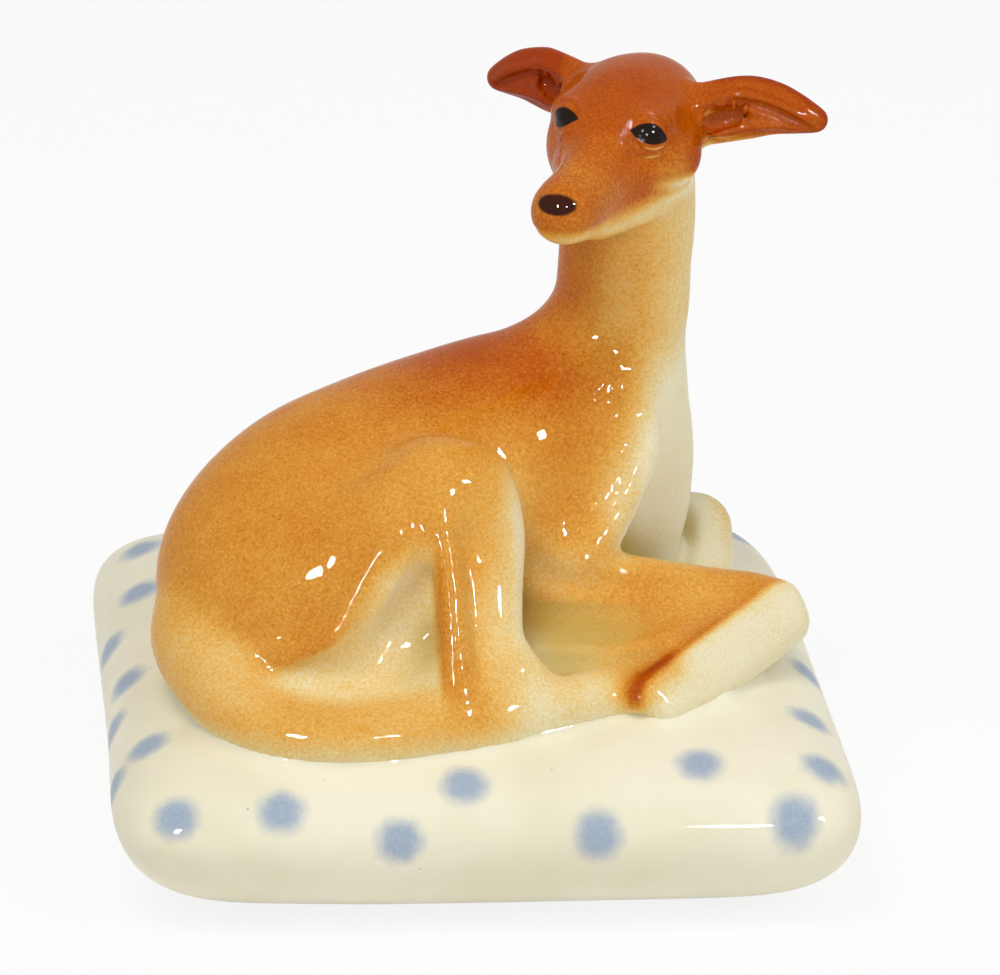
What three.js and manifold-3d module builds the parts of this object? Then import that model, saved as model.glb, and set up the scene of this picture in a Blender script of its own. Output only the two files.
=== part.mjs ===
// Glazed porcelain hound lying on a square pillow, in millimetres, +Z up.
// The hound faces +X and turns its head towards -Y. The origin is on the table,
// under the middle of the pillow. Ten slip castings are luted together with a
// thin film of slip, so every join keeps the film's thickness.
import * as THREE from 'three';
import { mergeVertices } from 'three/addons/utils/BufferGeometryUtils.js';
import Module from 'manifold-3d';

const wasm = await Module();
wasm.setup();

// Driving sizes
const LUTE = 0.3;                // film of slip between two castings
const PILLOW_WIDTH = 109;        // along X
const PILLOW_DEPTH = 117;        // along Y, in the middle
const PILLOW_FLARE = 0.03;       // share by which the head end is deeper, and the tail end less deep
const PILLOW_SEAM = 15.2;        // height of the widest line of the pillow
const PILLOW_CROWN = 26.5;       // height of the pillow's middle, which carries the hound
const PILLOW_SQUARENESS = 11.5;  // exponent of the rounded square outline
const PILLOW_FULLNESS = 0.32;    // exponent of the upper side: the smaller, the flatter its top
const FOOT_FULLNESS = 0.42;      // the same for the underside
const FOOT_RECESS = 1.2;         // hollow inside the unglazed standing ring
const VENT_RADIUS = 3.5;         // firing vent under the pillow
const VENT_DEPTH = 14;
const SHOULDER_HEIGHT = 30;      // above the pillow, where the neck begins
const TRUNK_GIRTH = 1.0;         // girths are factors on the half widths of the forms
const NECK_LENGTH = 38;          // from the shoulders up to the jaw
const LEG_GIRTH = 1.0;
const TAIL_GIRTH = 1.0;
const HEAD_LENGTH = 36.5;        // back of the skull to the nose
const HEAD_TURN = 28.5;          // degrees that the nose is turned from -Y towards -X
const EAR_SPAN = 26;             // middle of the skull to the tip of an ear

// A form is a smooth run of elliptical sections. Each station is
// [x, y, z, half width, half height]; 'side' is the direction of the half width.
function form(stations, { side, sides = 14, steps = 2, girth = 1, grow = 0, capRings = 3 }) {
  const P = stations.map((s) => new THREE.Vector3(s[0], s[1], s[2]));
  const axis = new THREE.CatmullRomCurve3(P, false, 'centripetal');
  const last = stations.length - 1;
  const blend = (k, t) => {
    const i = Math.min(Math.floor(t * last), last - 1);
    const f = t * last - i;
    const at = (j) => stations[Math.min(Math.max(j, 0), last)][k];
    return THREE.MathUtils.lerp(at(i), at(i + 1), f * f * (3 - 2 * f) * 0.5 + f * 0.5);
  };
  const sections = [];
  for (let j = 0; j <= last * steps; j++) {
    const t = j / (last * steps);
    const dir = axis.getTangent(t);
    const u = side.clone().addScaledVector(dir, -side.dot(dir)).normalize();
    const v = dir.clone().cross(u);
    const [a, b] = [3, 4].map((k) => blend(k, t) * girth + grow);
    sections.push({ c: axis.getPoint(t), dir, u, v, a, b });
  }
  const end = (s, sign) => {
    const r = Math.min(s.a, s.b);
    return Array.from({ length: capRings }, (_, k) => {
      const q = ((k + 1) / (capRings + 1)) * Math.PI / 2;
      const scale = Math.cos(q);
      const c = s.c.clone().addScaledVector(s.dir, sign * r * Math.sin(q));
      return { ...s, c, a: s.a * scale, b: s.b * scale };
    });
  };
  const first = sections[0];
  const final = sections[sections.length - 1];
  const rings = [...end(first, -1).reverse(), ...sections, ...end(final, 1)];
  const tip = (s, sign) => s.c.clone().addScaledVector(s.dir, sign * Math.min(s.a, s.b));
  const position = [];
  for (const s of rings) {
    for (let i = 0; i < sides; i++) {
      const w = (i / sides) * 2 * Math.PI;
      const p = s.c.clone().addScaledVector(s.u, s.a * Math.cos(w)).addScaledVector(s.v, s.b * Math.sin(w));
      position.push(p.x, p.y, p.z);
    }
  }
  const tail = position.length / 3;
  position.push(...tip(first, -1).toArray(), ...tip(final, 1).toArray());
  const index = [];
  for (let j = 0; j < rings.length - 1; j++) {
    for (let i = 0; i < sides; i++) {
      const a = j * sides + i;
      const b = j * sides + (i + 1) % sides;
      index.push(a, b, b + sides, a, b + sides, a + sides);
    }
  }
  const top = (rings.length - 1) * sides;
  for (let i = 0; i < sides; i++) {
    const n = (i + 1) % sides;
    index.push(tail, n, i, tail + 1, top + i, top + n);
  }
  const geometry = new THREE.BufferGeometry();
  geometry.setAttribute('position', new THREE.Float32BufferAttribute(position, 3));
  geometry.setIndex(index);
  return geometry;
}

function solid(geometry) {
  const g = geometry.clone();
  g.deleteAttribute('normal');
  g.deleteAttribute('uv');
  const m = mergeVertices(g, 1e-4);
  return new wasm.Manifold(new wasm.Mesh({
    numProp: 3,
    vertProperties: new Float32Array(m.attributes.position.array),
    triVerts: new Uint32Array(m.index.array),
  }));
}

function geometryOf(body) {
  const m = body.getMesh();
  const geometry = new THREE.BufferGeometry();
  geometry.setAttribute('position', new THREE.BufferAttribute(new Float32Array(m.vertProperties), 3));
  geometry.setIndex(new THREE.BufferAttribute(new Uint32Array(m.triVerts), 1));
  geometry.computeVertexNormals();
  return geometry;
}

const X = new THREE.Vector3(1, 0, 0);
const Y = new THREE.Vector3(0, 1, 0);
const Z = new THREE.Vector3(0, 0, 1);

// Pillow
// Rounded square rings that swell to the seam, close to a flat top and stand on a flat foot.
const BULGE = 1.1;               // the underside's bulge is cut flat by the table
const standing = Math.asin(1 / BULGE);
function pillowRing(rise) {
  const above = rise > 0;
  const spread = Math.pow(Math.cos(rise), above ? PILLOW_FULLNESS : FOOT_FULLNESS);
  const height = above ? PILLOW_CROWN - PILLOW_SEAM : PILLOW_SEAM * BULGE;
  return { spread, z: Math.max(0, PILLOW_SEAM + height * Math.sin(rise)) };
}

function pillowGeometry(around = 48, rows = 7) {
  const rises = [];
  for (let k = rows - 2; k > 0; k--) rises.push(-standing * k / (rows - 2));
  for (let k = 0; k < rows; k++) rises.push(Math.PI / 2 * (1 - Math.pow(1 - k / rows, 1.5)));
  const position = [];
  for (const { spread, z } of rises.map(pillowRing)) {
    for (let i = 0; i < around; i++) {
      const t = (i / around) * 2 * Math.PI;
      const w = t + 0.12 * Math.sin(4 * t);
      const n = PILLOW_SQUARENESS;
      const r = Math.pow(Math.pow(Math.abs(Math.cos(w)), n) + Math.pow(Math.abs(Math.sin(w)), n), -1 / n);
      const x = r * Math.cos(w) * spread;
      const y = r * Math.sin(w) * spread * (1 + PILLOW_FLARE * x);
      position.push(x * PILLOW_WIDTH / 2, y * PILLOW_DEPTH / 2, z);
    }
  }
  const poles = position.length / 3;
  position.push(0, 0, 0, 0, 0, PILLOW_CROWN);
  const index = [];
  const count = rises.length;
  for (let j = 0; j < count - 1; j++) {
    for (let i = 0; i < around; i++) {
      const a = j * around + i;
      const b = j * around + (i + 1) % around;
      index.push(a, b, b + around, a, b + around, a + around);
    }
  }
  const top = (count - 1) * around;
  for (let i = 0; i < around; i++) {
    const n = (i + 1) % around;
    index.push(poles, n, i, poles + 1, top + i, top + n);
  }
  const geometry = new THREE.BufferGeometry();
  geometry.setAttribute('position', new THREE.Float32BufferAttribute(position, 3));
  geometry.setIndex(index);
  return geometry;
}

function roundedPanel(width, depth, radius, height) {
  const shape = new THREE.Shape();
  const x = width / 2 - radius;
  const y = depth / 2 - radius;
  shape.absarc(x, y, radius, 0, Math.PI / 2, false);
  shape.absarc(-x, y, radius, Math.PI / 2, Math.PI, false);
  shape.absarc(-x, -y, radius, Math.PI, 1.5 * Math.PI, false);
  shape.absarc(x, -y, radius, 1.5 * Math.PI, 2 * Math.PI, false);
  return new THREE.ExtrudeGeometry(shape, { depth: height, bevelEnabled: false, curveSegments: 6 });
}

// Heights on the hound are counted from the pillow's crown.
const lift = (list, dz = PILLOW_CROWN) => list.map(([x, y, z, a, b]) => [x, y, z + dz, a, b]);

// Trunk: one run of sections from the rump along the back and up the neck, joined to
// the chest and to the breast that carries the front of the neck down to the pillow.
const neckTop = SHOULDER_HEIGHT + NECK_LENGTH;
const neckAt = (f) => SHOULDER_HEIGHT + NECK_LENGTH * f;
const spineRun = [
  [-33, -14, 9.5, 12.3, 12.8], [-29.1, -13, 15.3, 17.3, 17.3], [-21.2, -9, 19.9, 19.4, 19.1],
  [-11, -3, 21.9, 19.4, 19.4], [-0.7, 1.6, 24, 18.8, 19.4], [8.5, 4.3, 27, 17.1, 18.6],
  [15.5, 5.5, 32, 14.4, 16], [20.5, 6, neckAt(0.22), 12.3, 13.3], [23.3, 6, neckAt(0.38), 10.9, 11.5],
  [24.6, 6, neckAt(0.56), 10.1, 10.4], [25, 6, neckAt(0.74), 10, 10.1], [25.8, 6, neckAt(0.9), 10, 10],
  [26.4, 6.2, neckTop + 2, 9.2, 9.4], [27, 6.4, neckTop + 7, 7.2, 7.2],
];
const chestRun = [[0, 2, 24, 17.5, 18], [9.5, 4, 26.3, 17.3, 18.9], [17.6, 5, 27.5, 14.3, 17.3],
  [21.6, 5.6, 23.5, 9.9, 12.9]];
const breastRun = [
  [24, 6, neckAt(0.25), 9.2, 9.8], [23.4, 6, 31.5, 8.8, 11], [23.4, 6, 23.5, 8.8, 12.4],
  [21.6, 5.4, 13.5, 9.2, 12.6], [17, 4, 6.5, 9.4, 10.4],
];
const bellyRun = [[-32, -10, 6.5, 14.3, 9.3], [-18, -6, 7.5, 18.3, 10.3], [0, 1, 8.5, 17.3, 11.3],
  [15, 4, 8.5, 12.3, 11.3]];
function trunk(grow = 0) {
  const g = { girth: TRUNK_GIRTH, grow };
  return solid(form(lift(spineRun), { side: Y, sides: 20, ...g }))
    .add(solid(form(lift(chestRun), { side: Y, sides: 14, steps: 1, capRings: 2, ...g })))
    .add(solid(form(lift(breastRun), { side: Y, sides: 12, steps: 1, capRings: 2, ...g })))
    .add(solid(form(lift(bellyRun), { side: Y, sides: 12, steps: 1, capRings: 2, ...g })));
}

// Head: its own axes are f towards the nose, l towards the hound's left and u up.
const turn = THREE.MathUtils.degToRad(HEAD_TURN);
const noseward = new THREE.Vector3(-Math.sin(turn), -Math.cos(turn), 0);
const leftward = new THREE.Vector3(Math.cos(turn), -Math.sin(turn), 0);
const skull = new THREE.Vector3(25.8, 4, PILLOW_CROWN + neckTop + 10.6);
const hl = HEAD_LENGTH / 36.5;
const es = EAR_SPAN / 26;
const onHead = (f, l, u) => skull.clone().addScaledVector(noseward, f * hl)
  .addScaledVector(leftward, l).addScaledVector(Z, u);
const headRun = (list) => list.map(([f, l, u, a, b]) => [...onHead(f, l, u).toArray(), a, b]);

const skullRun = [
  [-7.5, 0, -0.2, 8.3, 7.7], [-3, 0, -0.6, 10.5, 8.7], [3, 0, -1.9, 10.4, 10], [9, 0, -3.9, 8, 8.8],
  [15, 0, -5.3, 6.1, 7.3], [21, 0, -5.9, 5.2, 6.2], [27, 0, -6, 4.5, 5.1],
];
// The far ear, on the side that the nose is turned to, is held a little higher and shorter.
function earRun(s) {
  const reach = s * es * (s < 0 ? 0.94 : 1);
  const up = s < 0 ? 1 : 0;
  return [
    [-3, s * 7.8, 0.8 + up, 4.5, 3.2], [-4, reach * 11, 1 + up, 4.6, 2.6],
    [-5, reach * 14.4, 1.9 + up * 0.6, 4.7, 2.3],
    [-5.8, reach * 17.4, 2.6 + up * 0.3, 4.7, 2.1], [-6.7, reach * 20.6, 2.9, 3.9, 1.9],
    [-7.6, reach * 23.4, 2.1, 2.9, 1.8], [-8.5, reach * 25.6, 0.9, 1.7, 1.5],
  ];
}
function ball(f, l, u, rf, rl, ru) {
  const g = new THREE.SphereGeometry(1, 10, 7);
  const m = new THREE.Matrix4().makeBasis(
    noseward.clone().multiplyScalar(rf), leftward.clone().multiplyScalar(rl), Z.clone().multiplyScalar(ru));
  m.setPosition(onHead(f, l, u));
  return solid(g.applyMatrix4(m));
}
const jawRun = [
  [-1, 0, -7.6, 7.4, 4.6], [8, 0, -8.4, 6.4, 4.6], [17, 0, -8.6, 4.8, 3.9], [25, 0, -8, 3.5, 3.2],
];
function head(grow = 0) {
  let body = solid(form(headRun(skullRun), { side: leftward, sides: 22, grow }))
    .add(solid(form(headRun(jawRun), { side: leftward, sides: 16, steps: 1, grow })));
  const socket = 2.9 - grow;
  for (const s of [-1, 1]) {
    body = body.subtract(ball(12.7, s * 9.3, 0.4, socket, socket, socket))
      .add(ball(6.6, s * 4.9, 3.1, 4.6 + grow, 3.6 + grow, 2.6 + grow));
  }
  const eye = 2.9 + grow;
  return body.add(ball(7.8, 5.5, 0.9, eye, eye, eye)).add(ball(9.6, -4.3, 1.2, eye, eye, eye))
    .add(ball(28.2, 0, -4, 2.9 + grow, 3.1 + grow, 2.2 + grow));
}
function mouthLine() {
  const run = [
    [31.2, 0, -7.9], [29.2, 3.5, -7.9], [25, 4.4, -8.3], [19, 4.8, -9], [13.5, 5.6, -9.2], [10.5, 6.4, -8.6],
  ];
  const left = run.map(([f, l, u]) => onHead(f, l, u));
  const right = run.slice(1).map(([f, l, u]) => onHead(f, -l, u)).reverse();
  const path = new THREE.CatmullRomCurve3([...right, ...left]);
  const section = new THREE.Shape();
  section.absarc(0, 0, 0.45, 0, 2 * Math.PI, false);
  const how = { steps: 16, extrudePath: path, curveSegments: 2, bevelEnabled: false };
  return solid(new THREE.ExtrudeGeometry(section, how));
}
function ear(s, grow = 0) {
  return solid(form(headRun(earRun(s)), { side: Z, sides: 12, steps: 1, grow }));
}
function earHollow(s) {
  const up = s < 0 ? 1 : 0;
  const run = headRun([
    [-1.7, s * 11.6 * es, 0.6 + up, 1.6, 1.5], [-2.2, s * 14 * es, 1.2 + up, 2.2, 1.7],
    [-3.2, s * 16.4 * es, 2 + up, 1.4, 1.3],
  ]);
  return solid(form(run, { side: Z, sides: 8, steps: 1, capRings: 2 }));
}

// Legs and tail. On the right, the side that the head is turned to, the hind leg stands
// bent over the tail and the fore leg is folded back at the wrist; the left ones lie the
// same way on the far side of the body.
const hindRight = {
  thigh: [[-35, -20.5, 7.5, 12.3, 11.8], [-27, -22.4, 13.9, 11.3, 11.3], [-15.8, -23.6, 22.9, 9.9, 9.5],
    [-5.8, -21.6, 30.5, 8.4, 8]],
  ham: [[-34, -27.4, 6, 5.3, 5.3], [-25, -28.6, 11.9, 5.5, 5.1], [-16.8, -29, 18.7, 5.1, 4.7],
    [-9.6, -28.2, 25.3, 4.3, 4.7]],
  hollow: [[-31, -29, 4.5, 8.8, 7.3], [-19, -30.4, 5.9, 9.8, 6.7], [-10, -30.4, 9, 9.8, 6.3],
    [-5, -28.4, 16.5, 6.8, 5.3]],
  hem: [[-32, -33.5, 1.1, 4.3, 5.2], [-22, -36.5, 1.1, 4.3, 5.2], [-12, -37, 1.5, 4.3, 5.2],
    [-5, -35.6, 5.5, 5, 5]],
  shank: [[-2.4, -21, 29.9, 8.3, 7.9], [-0.9, -26, 24.5, 7.1, 6.5], [-0.7, -31.4, 17.9, 5.9, 5.5],
    [-0.6, -36.6, 10.8, 5.3, 4.7], [-0.3, -40, 4.1, 5.6, 4.9], [-0.1, -41.4, 1, 6, 5]],
  foot: [[0.5, -40.5, 2.3, 5.3, 4.7], [6.5, -39, 2.3, 4.3, 4.3], [12.7, -37, 2.1, 3.9, 3.9],
    [18.8, -35, 1.9, 3.7, 3.5],
    [23.6, -33.6, 1.5, 3.3, 3.1]],
};
const hindLeft = {
  thigh: [[-33, 8, 7.5, 12.3, 11.3], [-25, 13, 12.5, 12.3, 11.3], [-14, 17.5, 17.5, 10.3, 9.9],
    [-5, 20.5, 20.1, 7.9, 7.7]],
  shank: [[-2.4, 21, 19.5, 7.3, 7.3], [-2.6, 25, 14.5, 6.1, 6.3], [-4, 29.5, 9.1, 5.5, 5.5],
    [-5, 32, 3.5, 5.3, 4.9]],
  foot: [[-5, 32.4, 2.3, 4.9, 4.7], [2, 33.4, 1.9, 4.3, 4.1], [9, 33.6, 1.5, 3.9, 3.8],
    [16, 32.6, 1.1, 3.6, 3.4]],
};
const foreRight = {
  arm: [[13, 0, 37.5, 5.3, 4.3], [19, -4, 33.5, 7.3, 4.9], [23.4, -7.4, 30.2, 6.2, 5.3],
    [21, -9.6, 25.2, 5.9, 5.2], [17.8, -11.6, 19.6, 5.9, 5.2], [14.8, -12.8, 14.6, 5.7, 5.4]],
  forearm: [[10, -12, 11.4, 6.9, 5.8], [20, -13.4, 9.6, 7.1, 5.4], [33.4, -12.9, 7.6, 6.2, 5],
    [45, -10.9, 5.5, 5.1, 4.7]],
  floor: [[6, -23.5, 3.5, 5.1, 7.1], [18, -24, 3.3, 4.9, 7.1], [30, -21, 2.9, 4.5, 5.7]],
  palm: [[42, -13.6, 5.5, 4.3, 3.7], [35, -20.4, 4.1, 4.3, 3.3], [27, -27.6, 2.9, 3.9, 3.3]],
  paw: [[46.4, -14.2, 5.7, 4.6, 3.8], [40.6, -21.2, 4.9, 4.3, 3.1], [33, -29.6, 3.6, 4, 2.9],
    [25.6, -37, 2.7, 3, 2.7]],
};
const foreLeft = {
  arm: [[13, 11, 37.5, 5.3, 4.3], [18, 15, 32.5, 8.3, 4.9], [19.5, 17.4, 27.5, 7.7, 5.1],
    [16.6, 19, 20.5, 6.7, 5.3],
    [12.5, 19.5, 14.5, 6.3, 5.9]],
  forearm: [[10, 19, 9.5, 6.7, 5.7], [21, 18.6, 8.5, 6.3, 5.3], [30, 17.6, 8.1, 5.3, 5.1],
    [37.6, 16.2, 8.3, 5, 5]],
  palm: [[26, 5, 4.5, 6.3, 6.3], [35, 9, 3.5, 4.7, 4.7]],
  paw: [[38.6, 15.4, 8.1, 4.7, 4.8], [38.4, 9, 5.1, 4.3, 4.3], [37.4, 2, 3.1, 3.9, 3.9]],
};
const tailRun = [
  [-38.6, -21, 8, 6.6, 6.6], [-38.4, -31.5, 4.5, 5.7, 5.7], [-33, -40.4, 1.8, 4.1, 4.1],
  [-23.4, -44.6, 1.2, 3.5, 3.5],
  [-13.1, -44.6, 1.4, 3.4, 3.4], [-7.6, -43.4, 1.9, 3.3, 3.3],
];

// Each run of a leg names the direction of its half width and how many sides it has.
const slant = (s) => new THREE.Vector3(0, -0.66 * s, 0.75);
const pawUp = new THREE.Vector3(-0.37, 0.335, 0.87);
const runsOf = {
  thigh: { side: Z, sides: 16, steps: 2 }, ham: { side: Z, sides: 10 }, hollow: { side: Z, sides: 12 },
  hem: { side: Z, sides: 8 }, shank: { side: X, sides: 14, steps: 2 },
  foot: { side: Z, sides: 12 }, arm: { side: X, sides: 12 }, forearm: { sides: 14 },
  floor: { side: Z, sides: 10 }, palm: { side: Z, sides: 10 }, paw: { side: Z, sides: 12, steps: 2 },
};
function leg(runs, s, grow = 0) {
  let body = null;
  for (const [name, run] of Object.entries(runs)) {
    const how = { steps: 1, capRings: 2, ...runsOf[name], girth: LEG_GIRTH, grow };
    if (name === 'forearm') how.side = slant(s);
    if (name === 'paw' && s < 0) how.side = pawUp;
    const piece = solid(form(lift(run), how));
    body = body ? body.add(piece) : piece;
  }
  return body;
}
const tailForm = { side: Z, sides: 10, capRings: 2, girth: TAIL_GIRTH };
const tail = (grow = 0) => solid(form(lift(tailRun), { ...tailForm, grow }));

// Assembly: of two castings that meet, one keeps its full form and the other is
// trimmed to it with the lute's thickness between them.
const legs = {
  hind_leg_right: (g) => leg(hindRight, -1, g),
  hind_leg_left: (g) => leg(hindLeft, 1, g),
  foreleg_right: (g) => leg(foreRight, -1, g),
  foreleg_left: (g) => leg(foreLeft, 1, g),
};
const castings = {};
castings.foreleg_right = legs.foreleg_right(0);
castings.foreleg_left = legs.foreleg_left(0);
castings.hind_leg_right = legs.hind_leg_right(0).subtract(legs.foreleg_right(LUTE));
castings.hind_leg_left = legs.hind_leg_left(0);
castings.tail = tail().subtract(legs.hind_leg_right(LUTE));
castings.ear_right = ear(-1).subtract(earHollow(-1));
castings.ear_left = ear(1).subtract(earHollow(1));
castings.head = head().subtract(mouthLine()).subtract(ear(-1, LUTE)).subtract(ear(1, LUTE));
castings.trunk = trunk().subtract(head(LUTE)).subtract(tail(LUTE));
for (const limb of Object.values(legs)) castings.trunk = castings.trunk.subtract(limb(LUTE));

const recess = roundedPanel(PILLOW_WIDTH * 0.42, PILLOW_DEPTH * 0.42, 12, FOOT_RECESS + 1);
let pillow = solid(pillowGeometry())
  .subtract(solid(recess.translate(0, 0, -1)))
  .subtract(solid(new THREE.CylinderGeometry(VENT_RADIUS, VENT_RADIUS, VENT_DEPTH, 20).rotateX(Math.PI / 2)));
for (const cut of [trunk(LUTE), tail(LUTE), ...Object.values(legs).map((limb) => limb(LUTE))]) {
  pillow = pillow.subtract(cut);
}
castings.cushion = pillow;

// Colours of the glazed clay under the airbrushed brown
const FAWN = [0.80, 0.47, 0.20];
const RUSSET = [0.70, 0.33, 0.12];
const WHITE = [0.93, 0.92, 0.86];
const colours = {
  cushion: WHITE, trunk: FAWN, tail: FAWN, hind_leg_right: FAWN, hind_leg_left: FAWN,
  foreleg_right: FAWN, foreleg_left: FAWN, head: RUSSET, ear_right: RUSSET, ear_left: RUSSET,
};

const figurine = new THREE.Group();
for (const [name, body] of Object.entries(castings)) {
  const material = new THREE.MeshStandardMaterial({
    color: new THREE.Color(...colours[name]), roughness: 0.12, metalness: 0,
  });
  const mesh = new THREE.Mesh(geometryOf(body), material);
  mesh.name = name;
  figurine.add(mesh);
}

export default figurine;
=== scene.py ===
import bmesh
import bpy
import numpy as np
from mathutils import Matrix, Vector


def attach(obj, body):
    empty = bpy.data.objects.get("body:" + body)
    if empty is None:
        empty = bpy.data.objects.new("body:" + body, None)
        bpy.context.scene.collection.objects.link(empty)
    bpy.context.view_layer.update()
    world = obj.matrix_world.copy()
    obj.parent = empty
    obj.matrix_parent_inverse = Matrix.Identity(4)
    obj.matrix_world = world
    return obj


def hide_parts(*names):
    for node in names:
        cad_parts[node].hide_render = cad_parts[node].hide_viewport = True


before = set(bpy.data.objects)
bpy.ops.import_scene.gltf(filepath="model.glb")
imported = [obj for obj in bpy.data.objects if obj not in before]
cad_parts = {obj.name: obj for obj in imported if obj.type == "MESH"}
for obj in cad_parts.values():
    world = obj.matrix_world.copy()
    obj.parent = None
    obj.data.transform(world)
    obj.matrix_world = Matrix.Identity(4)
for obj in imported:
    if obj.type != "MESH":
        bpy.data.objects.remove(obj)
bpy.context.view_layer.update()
MM = 0.001
F = np.float32
GLAZE = 0.3


# Sculpting tools

def catmull(P, n):
    P = np.asarray(P, float)
    Q = np.vstack([2*P[0]-P[1], P, 2*P[-1]-P[-2]])
    out = []
    for i in range(1, len(P)):
        p0, p1, p2, p3 = Q[i-1], Q[i], Q[i+1], Q[i+2]
        for t in np.arange(n)/n:
            out.append(0.5*((2*p1)+(-p0+p2)*t+(2*p0-5*p1+4*p2-p3)*t*t+(-p0+3*p1-3*p2+p3)*t**3))
    out.append(P[-1])
    return np.array(out)

def smin(a, b, k):
    if k <= 0: return np.minimum(a, b)
    h = np.maximum(k - np.abs(a-b), 0)/k
    return np.minimum(a, b) - h*h*k*F(0.25)
def smax(a, b, k): return -smin(-a, -b, k)

class Limb:
    """Chain of elliptical tapered capsules through stations (x, y, z, a, b[, sx, sy, sz])."""
    def __init__(s, name, pts, side=(0,1,0), n=4, blend=2.0, part=None, k_in=0.8, op='add', tint=None):
        s.name, s.blend, s.part, s.k_in, s.op, s.tint = name, blend, part or name, k_in, op, tint
        P = np.array([list(p[:5]) for p in pts], float)
        S = np.array([list(p[5:8]) if len(p) >= 8 else list(side) for p in pts], float)
        C = catmull(np.hstack([P, S]), n) if len(P) > 1 else np.hstack([P, S])
        if len(C) == 1: C = np.vstack([C, C + np.array([[1e-3]*3+[0]*5])])
        s.c = C[:, :3]; s.a = np.maximum(C[:, 3], .2); s.b = np.maximum(C[:, 4], .2)
        e = s.c[1:] - s.c[:-1]; L = np.linalg.norm(e, axis=1); T = e/L[:, None]
        sm = (C[1:, 5:8]+C[:-1, 5:8])/2
        U = sm - (sm*T).sum(1)[:, None]*T; U /= np.linalg.norm(U, axis=1)[:, None]
        s.e, s.L, s.T, s.U, s.V = e, L, T, U, np.cross(T, U)
        r = np.maximum(s.a, s.b)
        s.lo = (s.c - r[:, None]).min(0); s.hi = (s.c + r[:, None]).max(0)
    def dist(s, P, far=9.0):
        out = np.full(len(P), far, F)
        m = ((P > (s.lo-far).astype(F)) & (P < (s.hi+far).astype(F))).all(1)
        if not m.any(): return out
        Q = P[m].astype(F); best = None
        for i in range(len(s.e)):
            w = Q - s.c[i].astype(F)
            t = np.clip(w @ (s.e[i]/(s.L[i]**2)).astype(F), 0, 1)
            q = w - t[:, None]*s.e[i].astype(F)
            a = F(s.a[i]) + t*F(s.a[i+1]-s.a[i]); b = F(s.b[i]) + t*F(s.b[i+1]-s.b[i])
            c = np.minimum(a, b)
            u, v, x = q @ s.U[i].astype(F), q @ s.V[i].astype(F), q @ s.T[i].astype(F)
            u /= a; v /= b; x /= c
            k0 = np.sqrt(u*u+v*v+x*x)+F(1e-6)
            k1 = np.sqrt((u/a)**2+(v/b)**2+(x/c)**2)+F(1e-6)
            d = np.maximum(k0*(k0-1)/k1, -np.minimum(a, b))
            best = d if best is None else smin(best, d, s.k_in)
        out[m] = np.minimum(best, far)
        return out

class Line:
    """Ridge (h > 0) or groove (h < 0) along a curve: points (x, y, z, w, h), w = half width."""
    def __init__(s, pts, n=5):
        C = catmull(pts, n) if len(pts) > 2 else np.array(pts, float)
        s.c, s.w, s.h = C[:, :3], C[:, 3], C[:, 4]
        s.lo = s.c.min(0) - 2.6*s.w.max(); s.hi = s.c.max(0) + 2.6*s.w.max()
    def add(s, P, f):
        m = ((P > s.lo.astype(F)) & (P < s.hi.astype(F))).all(1)
        if not m.any(): return
        Q = P[m].astype(F); best = np.full(len(Q), 1e9, F); g = np.zeros(len(Q), F)
        for i in range(len(s.c)-1):
            e = (s.c[i+1]-s.c[i]).astype(F); w = Q - s.c[i].astype(F)
            t = np.clip(w @ (e/max(float(e@e), 1e-9)), 0, 1)
            q = w - t[:, None]*e; d = np.sqrt((q*q).sum(1))/(F(s.w[i]) + t*F(s.w[i+1]-s.w[i]))
            b = d < best
            best[b] = d[b]; g[b] = (F(s.h[i]) + t*F(s.h[i+1]-s.h[i]))[b]
        f[m] -= g*np.exp(-best*best)

class Body:
    def __init__(s, limbs, lines=()):
        s.limbs, s.lines = limbs, list(lines)
    def __call__(s, P, labels=False, lines=True):
        P = np.asarray(P, F); raw = []; f = None
        for l in s.limbs:
            d = l.dist(P)
            if l.op == 'cut': f = smax(f, -d, l.blend)
            else:
                f = d if f is None else smin(f, d, l.blend)
            if labels: raw.append(d if l.op == 'add' else np.full(len(P), 99, F))
        if lines:
            for L in s.lines: L.add(P, f)
        f = f - F(GLAZE)
        if labels: return f, np.stack(raw, 1)
        return f

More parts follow.
